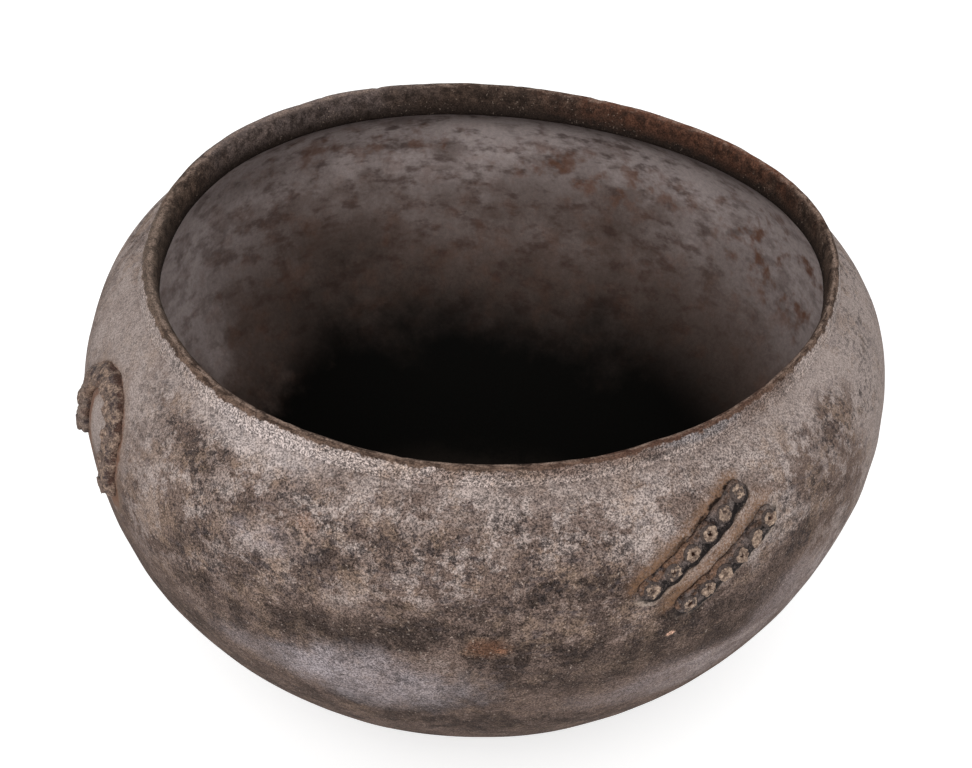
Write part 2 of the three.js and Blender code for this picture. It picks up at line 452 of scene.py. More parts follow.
def outside_look(tree, place, turn, height, grain):
    """Grey-brown clay under pale ash and some painted light on the flanks, speckled with grit and clouded by
    the fire.
    """
    rough = speckle(tree, place, 19, 5, 0.68)
    mottle = speckle(tree, place, 7, 5, 0.7)
    lying = node(tree, "Mapping", {"Vector": place, "Scale": (1, 1, 3)}).outputs["Vector"]
    streak = speckle(tree, lying, 13, 4, 0.7)
    flakes = soft_step(tree, speckle(tree, place, 15, 8, 0.78), 0.48, 0.535)
    burnt = soft_step(tree, speckle(tree, lying, 12, 8, 0.8), 0.56, 0.62)
    spot = (turn, height, rough)
    # pale ash, and painted light on the flanks from some of its patches
    ash_and_flank_light = add_patches(tree, soft_step(tree, height, 116, 176, 0.3, 0.72), spot, ash_and_flank_light_patches)
    rubbed = add_patches(tree, 0.0, spot, calm_patches)
    calm = calc(tree, "MAXIMUM", calc(tree, "MULTIPLY_ADD", rubbed, -0.75, 1.0), 0.3)
    calm = times(tree, calm, soft_step(tree, height, 84, 128, 0.5, 1.0))
    drift = 0.0
    for noise_value, strength in ((rough, 0.6), (mottle, 0.5), (streak, 0.55), (flakes, 0.34)):
        drift = sway(tree, drift, noise_value, strength)
    drift = sway(tree, drift, burnt, -0.24, middle=0.2)
    ash_and_flank_light = calc(tree, "MULTIPLY_ADD", drift, calm, ash_and_flank_light)
    lower = blend(tree, soft_step(tree, ash_and_flank_light, -0.05, 0.5), tone(54, 45, 41), tone(112, 95, 87))
    colour = blend(tree, soft_step(tree, ash_and_flank_light, 0.38, 0.95), lower, tone(164, 150, 144))
    warm = soft_step(tree, speckle(tree, place, 11, 7, 0.78), 0.5, 0.6)
    colour = cover(tree, colour, times(tree, warm, calm), 0.5, tone(144, 122, 106))
    cool = soft_step(tree, speckle(tree, lying, 9, 6, 0.78), 0.54, 0.63)
    colour = cover(tree, colour, times(tree, cool, calm), 0.5, tone(88, 80, 82))
    blue = add_patches(tree, 0.0, spot, blue_patches)
    blue = times(tree, blue, soft_step(tree, mottle, 0.34, 0.6, 0.5, 0.82), limit=True)
    colour = blend(tree, blue, colour, tone(162, 152, 154))
    soot = add_patches(tree, 0.0, spot, soot_patches)
    soot = calc(tree, "MULTIPLY_ADD", soft_step(tree, rough, 0.53, 0.44), calm, soot)
    dots = soft_step(tree, speckle(tree, place, 2.6, 4, 0.78), 0.5, 0.58)
    colour = cover(tree, colour, times(tree, soot, dots, limit=True), 0.75, tone(56, 50, 50))
    for *spread, strength, paint in spots:
        mask = patch_mask(tree, (turn, height, mottle), *spread)
        colour = cover(tree, colour, mask, strength, paint)
    colour = cover(tree, colour, grain["Pits"], 0.4, tone(58, 50, 47))
    colour = cover(tree, colour, grain["Flecks"], 0.36, tone(190, 174, 162))
    front = soft_step(tree, calc(tree, "ABSOLUTE", turn), 34, 60, 1.15, 0.62)
    front = times(tree, front, soft_step(tree, height, 76, 128, 0.78, 1.0))
    front = times(tree, front, soft_step(tree, height, 168, 175, 1.0, 0.78))
    speck = times(tree, minus(tree, grain["Grain"], 0.53), front)
    return shade(tree, colour, plus(tree, speck, 1.0))


# Where the inside is lighter than its height alone makes it, and where rust lies on it. The broad lighter
# patches on the left and right walls are painted light, where the lamp reaches them less.
inside_levels_and_side_light = [
    (-88, 84, 46, 74, 44.0),
    (-124, 104, 16, 34, 10.0),
    (-130, 70, 16, 18, 12.0),
    (90, 100, 46, 62, 26.0),
    (180, 164, 46, 18, 10.0),
    (-148, 154, 26, 28, -20.0),
    (-150, 78, 12, 14, -4.0),
    (-152, 112, 14, 24, -8.0),
    (165, 124, 34, 22, -12.0),
]
inside_rust = [
    (118, 132, 26, 26, 0.7),
    (160, 138, 24, 14, 0.5),
    (-160, 150, 20, 14, 0.4),
]


def inside_look(tree, place, turn, height):
    """Smooth purple-grey wall with brown and rusty patches and painted shade under the lip, then black that
    is soot and painted shade of the deep inside, and a scraped floor.
    """
    rough = speckle(tree, place, 30, 5, 0.65)
    lying = node(tree, "Mapping", {"Vector": place, "Scale": (1, 1, 1.7)}).outputs["Vector"]
    drift = speckle(tree, lying, 10, 3, 0.62)
    broad = speckle(tree, lying, 22, 4, 0.65)
    spot = (turn, height, rough)
    # height level, raised on the left and right walls by painted light
    level = add_patches(tree, sway(tree, height, rough, 44), spot, inside_levels_and_side_light)
    wall = blend(tree, soft_step(tree, level, 88, 172), tone(94, 80, 74), tone(198, 184, 181))
    wall = cover(tree, wall, soft_step(tree, broad, 0.5, 0.36), 0.4, tone(92, 74, 66))
    at_back = soft_step(tree, calc(tree, "ABSOLUTE", turn), 116, 150, 0.36, 0.72)
    wall = cover(tree, wall, soft_step(tree, drift, 0.53, 0.31), at_back, tone(76, 58, 52))
    rust = soft_step(tree, speckle(tree, place, 10, 3, 0.64), 0.48, 0.68)
    rust_share = add_patches(tree, 0.2, spot, inside_rust)
    wall = cover(tree, wall, rust, rust_share, tone(112, 76, 58), limit=True)
    fine = soft_step(tree, speckle(tree, place, 1.6, 3, 0.8), 0.3, 0.7, 0.88, 1.12)
    # painted shade under the overhanging lip, with some soot: the wall darkens towards the lip
    under_lip_shade = soft_step(tree, height, 155, 167, 0.0, 0.6)
    wall = blend(tree, under_lip_shade, shade(tree, wall, fine), tone(58, 48, 44))
    scraped = blend(tree, soft_step(tree, broad, 0.38, 0.6), tone(22, 19, 17), tone(50, 43, 38))
    # black downwards: soot, and painted shade of the deep inside
    soot = blend(tree, soft_step(tree, height, 32, 15), tone(8, 7, 5), shade(tree, scraped, fine))
    return blend(tree, soft_step(tree, level, 106, 52), wall, soot)


def pot_clay():
    material, tree, shader, place, grain = new_clay("pot clay")
    turn, height = turn_and_height(tree, place)
    inside = mark(tree, "inside")
    outer = outside_look(tree, place, turn, height, grain)
    colour = blend(tree, inside, outer, inside_look(tree, place, turn, height))
    tree.links.new(colour, shader.inputs["Base Color"])
    tree.links.new(soft_step(tree, inside, 0, 1, 0.9, 0.7), shader.inputs["Roughness"])
    give_relief(tree, shader, times(tree, grain["Relief"], soft_step(tree, inside, 0, 1, 1, 0.2)), 0.4)
    return material


# Steps of the mesh, round the pot and along each run of its outline
body_steps = 256
flat_steps = 8
bowl_steps = 66
wall_steps = 30
inside_bowl_steps = 60
inside_wall_steps = 28
top_seat = neck_height + 0.4  # the wall reaches a little into the lip


def wall_run(depth, steps):
    """Points up the wall from the belly to the top, at a depth inside its outline."""
    heights = [between(belly_height, top_seat, (step + 1) / steps) for step in range(steps)]
    return [outline_point(height, depth) for height in heights]


def body_outline():
    """Outline up the outside, over the seat of the lip and down the inside, with what its points carry."""
    outside = [(resting_radius * step / flat_steps, 0) for step in range(flat_steps)]
    outside += bowl_run(belly_radius, bowl_depth, bowl_fullness, 0, bowl_steps)
    outside += wall_run(0, wall_steps)
    inside_radius = belly_radius - wall_thickness
    inside_depth = belly_height - floor_thickness
    inside = bowl_run(inside_radius, inside_depth, inside_fullness, floor_thickness, inside_bowl_steps)
    inside += wall_run(wall_thickness, inside_wall_steps)
    outline = outside + inside[::-1]
    outline[0] = (0, 0)
    outline[-1] = (0, floor_thickness)
    lengths = [0.0]
    for start, end in zip(outline, outline[1:]):
        lengths.append(lengths[-1] + hypot(end[0] - start[0], end[1] - start[1]))
    belly = lengths[min(range(len(outside)), key=lambda spot: abs(outside[spot][1] - belly_height))]
    return outline, {
        "inside": [0.0] * len(outside) + [1.0] * len(inside),
        "up_wall": [length - belly for length in lengths]}


outline, outline_marks = body_outline()
body_mesh = spin_outline(outline, body_steps, outline_marks)
for vert in body_mesh.verts:
    vert.co = hand_made(hypot(vert.co.x, vert.co.y), atan2(vert.co.x, -vert.co.y), vert.co.z)
wall_finish = pot_clay()
finish_piece("pot_body", body_mesh, wall_finish, ["base_bowl", "shoulder_wall"])


# Lip. One last coil was laid on the neck and pressed over to the inside, so its width changes round
# the mouth. Hands and ladles have rubbed it brown, reddish at the back right and grey at the back left.
lip_lean = 1.8
lip_width = 5.4
lip_rounding = 2.4
lip_undercut = 1.2
lip_width_waves = [(1, 0.34, -135)]
lip_steps = 400
lip_tuck = 0.5

# Wear of the crown, how long and deep its marks are
wear_start = 2
wear_fade = 4
dip_length = 17
dip_depth = 0.35
nick_length = 3.1
nick_depth = 0.09
chip_length = 3.7
chip_depth = 2.4
chip_threshold = 0.5
wander_length = 9
wander_width = 0.25

# Turn, degrees wide, colour and strength of the worn places round the lip
lip_tints = [
    (180, 40, tone(76, 61, 53), 0.6),
    (138, 32, tone(116, 74, 56), 0.7),
    (30, 26, tone(88, 62, 51), 0.6),
    (-142, 26, tone(130, 116, 112), 0.65),
    (-84, 26, tone(106, 92, 82), 0.6),
]
lip_tint_height = 60.0


def halfway(start, end):
    return tuple((a + b) / 2 for a, b in zip(start, end))


def quad_curve(start, control, end, steps):
    """Points of a curve from start to end that bends towards control."""
    points = []
    for step in range(1, steps + 1):
        t = step / steps
        points.append(tuple((1 - t) ** 2 * a + 2 * t * (1 - t) * b + t ** 2 * c
                            for a, b, c in zip(start, control, end)))
    return points


def lip_outline(width):
    """Closed outline of the lip, from its seat over the crown and down the inside."""
    seat_outside = outline_point(neck_height, 0)
    seat_inside = outline_point(neck_height, wall_thickness)
    along = Vector((outside_slope(neck_height), 1)).normalized()
    step_in = (seat_inside[0] + along.x * lip_undercut, seat_inside[1] + along.y * lip_undercut)
    outer = neck_radius - lip_lean
    inner = outer - width
    crown = outer - 0.3 * width
    crown_edge = outer - 0.8 * width
    shoulder = (outer + lip_rounding / 3, pot_height - lip_rounding)
    beak = (crown_edge, pot_height - 0.8 * lip_rounding)
    low = (inner, step_in[1] + lip_rounding)
    heel = (inner + lip_rounding / 2, step_in[1])
    points = [outline_point(neck_height - lip_tuck, lip_tuck), seat_outside]
    points += quad_curve(seat_outside, halfway(seat_outside, shoulder), shoulder, 5)
    points += quad_curve(shoulder, (outer, pot_height), (crown, pot_height), 6)
    points += quad_curve((crown, pot_height), (crown - 0.3 * width, pot_height), beak, 6)
    points += quad_curve(beak, halfway(beak, low), low, 5)
    points += quad_curve(low, (inner, step_in[1]), heel, 4)
    points += [step_in, outline_point(neck_height - lip_tuck, wall_thickness - lip_tuck)]
    return points + [points[0]]


def crown_wear(radius, turn, height):
    """Small dips and chips along the crown."""
    share = clamp((height - neck_height - wear_start) / wear_fade)
    spot = Vector((sin(turn), -cos(turn), 0)) * neck_radius
    dip = noise.noise(spot / dip_length) * dip_depth
    nick = noise.noise(spot / nick_length + Vector((5, 0, 0))) * nick_depth
    chip = max(0.0, noise.noise(spot / chip_length + Vector((0, 9, 0))) - chip_threshold) * chip_depth
    wander = share * wander_width * noise.noise(spot / wander_length + Vector((0, 0, 4)))
    return radius + wander, height + share * (dip + nick - chip)


def speckle_clay(tree, shader, colour, grain, swing):
    """Gives the shader its colour, made lighter and darker by the grit."""
    inputs = {"Value": grain["Grain"], "To Min": 1 - swing, "To Max": 1 + swing}
    speck = node(tree, "MapRange", inputs).outputs[0]
    tree.links.new(shade(tree, colour, speck), shader.inputs["Base Color"])


def lip_clay():
    material, tree, shader, place, grain = new_clay("lip clay")
    turn, height = turn_and_height(tree, place)
    over = mark(tree, "over_lip")
    rough = speckle(tree, place, 17, 4, 0.65)
    mottle = speckle(tree, place, 4.5, 4, 0.7)
    round_lip = node(tree, "CombineXYZ", {
        "X": times(tree, turn, 0.35 * mm), "Y": times(tree, over, 3.2 * mm)}).outputs[0]
    rubbed = speckle(tree, round_lip, 1.0, 3, 0.7)
    brown = blend(tree, soft_step(tree, rubbed, 0.36, 0.62), tone(62, 49, 42), tone(112, 92, 80))
    for at_turn, wide, tint, strength in lip_tints:
        mask = patch_mask(tree, (turn, height, rough), at_turn, pot_height, wide, lip_tint_height)
        brown = cover(tree, brown, mask, strength, tint)
    edge = soft_step(tree, sway(tree, over, mottle, 0.7), 0.6, 0.68)
    colour = blend(tree, edge, outside_look(tree, place, turn, height, grain), brown)
    # a lighter line along the top of the crown: rubbed wear, and painted highlight where the crown faces the
    # light
    crest = times(tree, soft_step(tree, over, 0.84, 0.98), soft_step(tree, rubbed, 0.42, 0.6))
    colour = cover(tree, colour, crest, 0.5, tone(150, 130, 118))
    # The inner face is darker: partly the lip's own burnished brown and partly painted shade, deepest on its
    # low band above the undercut.
    worn = sway(tree, over, mottle, 0.5)
    dark = blend(tree, soft_step(tree, mottle, 0.36, 0.68, 0.15, 0.75), tone(34, 26, 22), brown)
    colour = blend(tree, soft_step(tree, worn, 1.02, 1.24), colour, dark)
    colour = blend(tree, soft_step(tree, worn, 1.44, 1.64), colour, tone(40, 32, 28))
    chips = times(tree, grain["Flecks"], soft_step(tree, rough, 0.42, 0.56))
    colour = cover(tree, colour, chips, 0.4, tone(160, 142, 128))
    speckle_clay(tree, shader, colour, grain, 0.38)
    tree.links.new(soft_step(tree, mottle, 0.3, 0.7, 0.6, 0.8), shader.inputs["Roughness"])
    give_relief(tree, shader, grain["Relief"], 0.35)
    return material


outline = lip_outline(lip_width)
crown_point = outline.index(max(outline, key=lambda point: point[1]))
lip_mesh = spin_outline(outline, lip_steps, {"spot": range(len(outline))})
spot_layer = lip_mesh.verts.layers.float["spot"]
over_layer = lip_mesh.verts.layers.float.new("over_lip")
for vert in lip_mesh.verts:
    turn = atan2(vert.co.x, -vert.co.y)
    spot = round(vert[spot_layer])
    radius, height = lip_outline(lip_width * (1 + wave_sum(lip_width_waves, turn)))[spot]
    radius, height = crown_wear(radius, turn, height)
    vert.co = hand_made(radius, turn, height)
    beyond = (spot - crown_point) / (len(outline) - 1 - crown_point)
    vert[over_layer] = spot / crown_point if spot <= crown_point else 1 + beyond
finish_piece("rim_lip_piece", lip_mesh, lip_clay(), ["rim_lip"])


# Raised strips. A roll of clay was pressed onto the shoulder with slip, straight in slanting pairs
# and bent over in horseshoes, and pinched between its knobs. It is black and greasy from the fire.
strip_width = 9.4
strip_height = 2.5
strip_end = 4.6
strip_sunk = 0.7
upper_side_share = 0.8  # the upper flank is pressed in steeper than the lower one
lower_side_share = 1.25
upper_side_slope = 0.62
lower_side_slope = 1.0
flank_fullness = 0.8
end_fullness = 2.4
strip_sides = 40
strip_rings_per_mm = 2.4
strip_lumpiness = 1.2
lump_length = 4.5
tear_length = 1.3
knob_swell = 3.9  # how far along the strip it swells beside a knob
slip_gap = 0.3
pair_turns = {"front_pair": 31.6, "rear_pair": 211.6}
pair_below_neck = 28.8
pair_spacing = 15.8
pair_shift = 4
bar_tilt = 32.4
upper_bar_length = 51.6
lower_bar_length = 47
bar_bulge = 1.0
bar_pinch = 0.34
# Ending of the name, offset across the pair, shift along it and length of each bar
pair_bars = [
    ("_upper_bar", pair_spacing / 2, -pair_shift / 2, upper_bar_length),
    ("_lower_bar", -pair_spacing / 2, pair_shift / 2, lower_bar_length),
]
horseshoe_turns = {"left_horseshoe": -64.7, "right_horseshoe": 128}
horseshoe_below_neck = 28.8
horseshoe_radius = 17
horseshoe_flatness = 0.8
horseshoe_length = 90
horseshoe_leg_difference = 3
horseshoe_bulge = 1.4
horseshoe_pinch = 0.14


def climb_wall(from_height, distance):
    """Height reached by going a distance up the wall from a height."""
    steps = 12
    height = from_height
    for _ in range(steps):
        height += distance / steps / hypot(1, outside_slope(height))
    return height


def press_on_wall(point, motif_turn, motif_height, route):
    """Bends a flat point onto the wall: x along its route, y across it, z out of the clay."""
    across, up, heading = route(point.x)
    across -= point.y * sin(heading)
    up += point.y * cos(heading)
    turn = radians(motif_turn) + across / outside_radius(motif_height)
    radius, height = outline_point(climb_wall(motif_height, up), -point.z)
    return hand_made(radius, turn, height)


def bar_route(offset, shift):
    heading = radians(bar_tilt)

    def route(along):
        across = (along + shift) * cos(heading) - offset * sin(heading)
        up = (along + shift) * sin(heading) + offset * cos(heading)
        return across, up, heading
    return route


def horseshoe_route(along):
    arch = pi * horseshoe_radius
    past = along + (arch - horseshoe_leg_difference) / 2
    if past < 0:
        return horseshoe_radius, past, pi / 2
    if past > arch:
        return -horseshoe_radius, arch - past, -pi / 2
    angle = past / horseshoe_radius
    heading = atan2(horseshoe_flatness * cos(angle), -sin(angle))
    return horseshoe_radius * cos(angle), horseshoe_flatness * horseshoe_radius * sin(angle), heading


def knob_places(length, knobs):
    reach = length / 2 - strip_end
    return [between(-reach, reach, knob / (knobs - 1)) for knob in range(knobs)]


def down_share(vert):
    """How far a point lies down its ball, from 0 at the top to 1 at the bottom."""
    return acos(max(-1.0, min(1.0, vert.co.z))) / pi


def strip_mesh(length, knobs, seed, bulge, pinch):
    """A lumpy strip lying flat, pinched in between its knobs, with round ends."""
    mesh = bmesh.new()
    rings = int(length * strip_rings_per_mm)
    bmesh.ops.create_uvsphere(mesh, u_segments=strip_sides, v_segments=rings, radius=1)
    top_layer = mesh.verts.layers.float.new("strip_top")
    side_layer = mesh.verts.layers.float.new("strip_side")
    along_layer = mesh.verts.layers.float.new("strip_along")
    half = length / 2
    places = knob_places(length, knobs)
    for vert in mesh.verts:
        along = (down_share(vert) * 2 - 1) * half
        angle = atan2(vert.co.x, vert.co.y)
        end = max(0.0, (abs(along) - (half - strip_width / 2)) / (strip_width / 2))
        size = max(0.0, 1 - end ** end_fullness) ** (1 / end_fullness)
        near = max(clamp(1 - abs(along - knob) / knob_swell) for knob in places)
        lump = noise.noise(Vector((along / lump_length, cos(angle) * 1.3, seed)))
        tear = noise.noise(Vector((along / tear_length, sin(angle) * 3, seed + 9)))
        below = sin(angle) < 0
        side_share = lower_side_share if below else upper_side_share
        slope = lower_side_slope if below else upper_side_slope
        width = strip_width / 2 * side_share * size * (0.9 + 0.1 * near + 0.1 * strip_lumpiness * lump)
        across = width * copysign(abs(sin(angle)) ** flank_fullness, sin(angle))
        rise = max(0.0, cos(angle)) ** slope
        height = bulge * strip_height * size ** 0.7 * (
            1 - pinch + pinch * near + strip_lumpiness * (0.22 * lump + 0.12 * tear))
        out = rise * height if cos(angle) > 0 else -strip_sunk
        vert[top_layer] = rise * (0.6 + 0.4 * near)
        vert[side_layer] = sin(angle)
        vert[along_layer] = along / half
        vert.co = Vector((along, across, out + (slip_gap if out > 0 else 0)))
    return mesh


def strip_clay(name, dark, light, flank_shade_tone, stain_share, flank_shade_share, flank_shade_edge, pit_share):
    """Black greasy clay or brown dusty clay, rusty up its upper flank, with painted shade down its lower
    flank and along its edge at the wall.
    """
    material, tree, shader, place, grain = new_clay(name)
    side = mark(tree, "strip_side")
    along = mark(tree, "strip_along")
    mottle = speckle(tree, place, 3.2, 5, 0.75)
    patchy = speckle(tree, place, 7, 4, 0.7)
    colour = blend(tree, soft_step(tree, mottle, 0.4, 0.6), dark, light)
    bare = times(tree, soft_step(tree, along, 0.35, 0.8), soft_step(tree, mottle, 0.36, 0.56))
    colour = cover(tree, colour, bare, 0.5, tone(124, 114, 109))
    stain = times(tree, soft_step(tree, patchy, 0.4, 0.56), soft_step(tree, side, -0.1, 0.6))
    stain = times(tree, stain, soft_step(tree, along, 0.4, -0.4, 0.6, 1.4))
    colour = cover(tree, colour, stain, stain_share, tone(128, 98, 79), limit=True)
    # painted shade down the lower flank, and along the edge where the strip meets the wall
    foot = soft_step(tree, sway(tree, side, mottle, 2.2), flank_shade_edge, flank_shade_edge - 0.5)
    edge_shade = soft_step(tree, mark(tree, "strip_top"), 0.3, 0.05)
    edge_shade = times(tree, edge_shade, soft_step(tree, patchy, 0.4, 0.56, 0.25, 1.0))
    colour = cover(tree, colour, calc(tree, "MAXIMUM", foot, edge_shade), flank_shade_share, flank_shade_tone)
    colour = cover(tree, colour, grain["Pits"], pit_share, tone(22, 18, 17))
    colour = cover(tree, colour, grain["Flecks"], 0.4, tone(150, 136, 124))
    speckle_clay(tree, shader, colour, grain, 0.4)
    tree.links.new(soft_step(tree, mottle, 0.3, 0.7, 0.5, 0.8), shader.inputs["Roughness"])
    give_relief(tree, shader, calc(tree, "MULTIPLY_ADD", mottle, 1.6, grain["Relief"]), 0.8)
    return material


black_strip = strip_clay(
    "black strip clay", dark=tone(38, 33, 33), light=tone(114, 102, 98), flank_shade_tone=tone(26, 22, 22),
    stain_share=0.6, flank_shade_share=0.9, flank_shade_edge=0.0, pit_share=0.5)
dusty_strip = strip_clay(
    "dusty strip clay", dark=tone(76, 66, 66), light=tone(152, 130, 115), flank_shade_tone=tone(82, 58, 47),
    stain_share=0.5, flank_shade_share=0.75, flank_shade_edge=-0.65, pit_share=0.25)


# Knobs. A row of pellets was set in each strip and pricked while wet. Their tops have broken
# and worn to pale tan clay, ragged round the edge, and the prick is painted dark, as shade in its hollow.
knob_radius = 2.9
knob_top_radius = 2.3
knob_stand = 0.9
knob_sunk = 1.1
prick_radius = 1.15
prick_depth = 1.2
crest_height = strip_height + slip_gap
knob_segments = 26
knob_rings = 27
knob_drift = 0.8  # how far a top leans off the middle
broad_raggedness = 0.75
fine_raggedness = 0.5
top_lump = 0.9
top_lump_length = 1.5
crumb = 0.3
crumb_length = 0.6

# For each knob from the low end of its strip up, how much of its pale broken top still stands
# and how clear its prick is
upper_bar_knobs = [(0.6, 0.35), (0.5, 0.9), (1.0, 1.0), (0.95, 1.0), (0.65, 0.3), (0.5, 0.2)]
lower_bar_knobs = [(0.45, 0.9), (0.7, 0.8), (1.0, 0.3), (1.0, 1.0), (1.0, 0.2), (0.85, 1.0)]
horseshoe_knobs = [(standing, 1.0) for standing in (0.3, 0.4, 0.6, 0.6, 0.5, 0.35, 0.3, 0.4, 0.25)]

# Seeds of the lumps, one for each strip, and how far apart those of its knobs lie
bar_seeds = (11, 31)
horseshoe_seed = 101
next_motif_seed = 40
next_knob_seed = 1.7


def knob_outline(pricked):
    """Outline of a pellet from the bottom of its prick over the top and down to its foot."""
    top = crest_height + knob_stand
    foot = crest_height - knob_sunk
    depth = prick_depth * pricked
    return [
        (0, top - depth), (0.35 * prick_radius, top - 0.9 * depth), (0.65 * prick_radius, top - 0.2 * depth),
        (1.1 * prick_radius, top), (0.82 * knob_top_radius, top), (1.06 * knob_top_radius, top - 0.3),
        (0.85 * knob_radius, crest_height + 0.2), (knob_radius, crest_height - 0.3),
        (knob_radius, foot), (0, foot)]


def add_knob(mesh, along, seed, fresh, pricked, top_layer, prick_layer):
    """One ragged pellet, lying flat at its place along the strip, its prick a little off the middle."""
    made = bmesh.ops.create_uvsphere(mesh, u_segments=knob_segments, v_segments=knob_rings, radius=1)["verts"]
    outline = knob_outline(pricked)
    last = len(outline) - 1
    aside = noise.noise(Vector((seed, 4, 1)))
    upward = 0.7 + noise.noise(Vector((seed, 8, 2)))
    drift = Vector((aside, upward, 0)) * knob_drift
    for vert in made:
        passed = down_share(vert) * last  # how many points of the outline lie before this one
        step = min(last - 1, int(passed))
        radius, out = (between(a, b, passed - step) for a, b in zip(outline[step], outline[step + 1]))
        angle = atan2(vert.co.y, vert.co.x)
        around = Vector((cos(angle), sin(angle), seed * 3.7))
        topside = clamp((6 - passed) / 2)
        rough = broad_raggedness * noise.noise(around * 1.2) + fine_raggedness * noise.noise(around * 3.3)
        ragged = 1.06 + topside * rough
        spot = Vector((radius * cos(angle), radius * sin(angle), seed * 5.1))
        bumps = top_lump * noise.noise(spot / top_lump_length) + crumb * noise.noise(spot / crumb_length)
        lift = topside * fresh * bumps
        out = min(out, between(crest_height, out, fresh))
        vert[top_layer] = fresh * clamp((5.6 - passed) / 1.2)
        vert[prick_layer] = pricked * clamp((2.3 - passed) / 0.8)
        place = Vector((radius * ragged * cos(angle), radius * ragged * sin(angle), out + lift))
        vert.co = Vector((along, 0, 0)) + place + drift * clamp((4 - passed) / 3)


def knob_clay(name, side, dull, bright, prick_shade_tone):
    """Broken tan clay on top, the strip's own dark clay down the sides, and a prick painted dark as shade in
    its hollow.
    """
    material, tree, shader, place, grain = new_clay(name)
    mottle = speckle(tree, place, 2, 4, 0.7)
    worn = sway(tree, mark(tree, "knob_top"), mottle, 2.2)
    colour = blend(tree, soft_step(tree, mottle, 0.4, 0.62), dull, bright)
    colour = blend(tree, soft_step(tree, worn, 0.34, 0.64), side, colour)
    # painted shade in the prick
    colour = blend(tree, mark(tree, "knob_prick"), colour, prick_shade_tone)
    colour = cover(tree, colour, grain["Pits"], 0.35, tone(52, 40, 34))
    speckle_clay(tree, shader, colour, grain, 0.35)
    shader.inputs["Roughness"].default_value = 0.85
    give_relief(tree, shader, grain["Relief"], 0.5)
    return material


tan_knob = knob_clay(
    "tan knob clay", side=tone(84, 74, 70), dull=tone(112, 94, 83), bright=tone(170, 148, 131),
    prick_shade_tone=tone(40, 20, 14))
dusty_knob = knob_clay(
    "dusty knob clay", side=tone(116, 100, 92), dull=tone(124, 105, 95), bright=tone(164, 141, 125),
    prick_shade_tone=tone(108, 90, 81))


def knob_row(length, seed, knobs):
    mesh = bmesh.new()
    top_layer = mesh.verts.layers.float.new("knob_top")
    prick_layer = mesh.verts.layers.float.new("knob_prick")
    for knob, along in enumerate(knob_places(length, len(knobs))):
        add_knob(mesh, along, seed + knob * next_knob_seed, *knobs[knob], top_layer, prick_layer)
    return mesh


def add_strip(name, motif_turn, below_neck, route, length, knobs, seed, bulge, pinch, finishes):
    """A strip and its row of knobs, both pressed onto the wall along a route."""
    strip = strip_mesh(length, len(knobs), seed, bulge, pinch)
    row = knob_row(length, seed, knobs)
    lift = (bulge - 1) * strip_height
    for vert in row.verts:
        vert.co.z += lift
    for mesh in (strip, row):
        for vert in mesh.verts:
            vert.co = press_on_wall(vert.co, motif_turn, neck_height - below_neck, route)
    strip_finish, knob_finish = finishes
    finish_piece(name + "_strip", strip, strip_finish, [name])
    knob_nodes = [f"{name}_knob_{number + 1}" for number in range(len(knobs))]
    finish_piece(name + "_knobs", row, knob_finish, knob_nodes)


for pair, (name, turn) in enumerate(pair_turns.items()):
    for (ending, offset, shift, length), knobs, seed in zip(
            pair_bars, (upper_bar_knobs, lower_bar_knobs), bar_seeds):
        add_strip(name + ending, turn, pair_below_neck, bar_route(offset, shift), length, knobs,
                  seed + next_motif_seed * pair, bar_bulge, bar_pinch, (black_strip, tan_knob))
for side, (name, turn) in enumerate(horseshoe_turns.items()):
    add_strip(name, turn, horseshoe_below_neck, horseshoe_route, horseshoe_length, horseshoe_knobs,
              horseshoe_seed + next_motif_seed * side, horseshoe_bulge, horseshoe_pinch,
              (dusty_strip, dusty_knob))


# Stain and painted shade on the wall round the strips. Slip gathered along them as a rusty band above
# each bar; a black crevice above each bar and a dark band just below it are painted shade. A rubbed pale
# line lies below each bar, and rust all round each horseshoe.

# For each bar of a pair: strength of its painted crevice shade, the end that is dusty below it, reach of its
# rust
bar_stains = [(1.0, -1.0, 5.4), (0.4, 1.0, 8.0)]


def wall_length(height):
    """Distance up the wall from the belly to a height."""
    steps = 60
    rise = (height - belly_height) / steps
    return sum(rise * hypot(1, outside_slope(belly_height + (step + 0.5) * rise)) for step in range(steps))


def bar_reach_group():
    """How far a spot lies beyond the edge of a bar, to which side of its middle and how far along."""
    group, inside, out = new_group(
        "bar reach", ["Across", "Up", "Offset", "Shift", "Length"], ["Beyond", "Side", "Along"])
    tilt = radians(bar_tilt)
    along = plus(group, times(group, inside["Across"], cos(tilt)), times(group, inside["Up"], sin(tilt)))
    along = minus(group, along, inside["Shift"])
    half_length = times(group, inside["Length"], 0.5)
    group.links.new(calc(group, "DIVIDE", along, half_length), out["Along"])
    along = calc(group, "ABSOLUTE", along)
    side = plus(group, times(group, inside["Across"], -sin(tilt)), times(group, inside["Up"], cos(tilt)))
    side = minus(group, side, inside["Offset"])
    straight = calc(group, "MULTIPLY_ADD", inside["Length"], 0.5, -strip_width / 2)
    past = calc(group, "MAXIMUM", minus(group, along, straight), 0.0)
    reach = calc(group, "SQRT", calc(group, "MULTIPLY_ADD", past, past, times(group, side, side)))
    group.links.new(minus(group, reach, strip_width / 2), out["Beyond"])
    group.links.new(side, out["Side"])
    return group


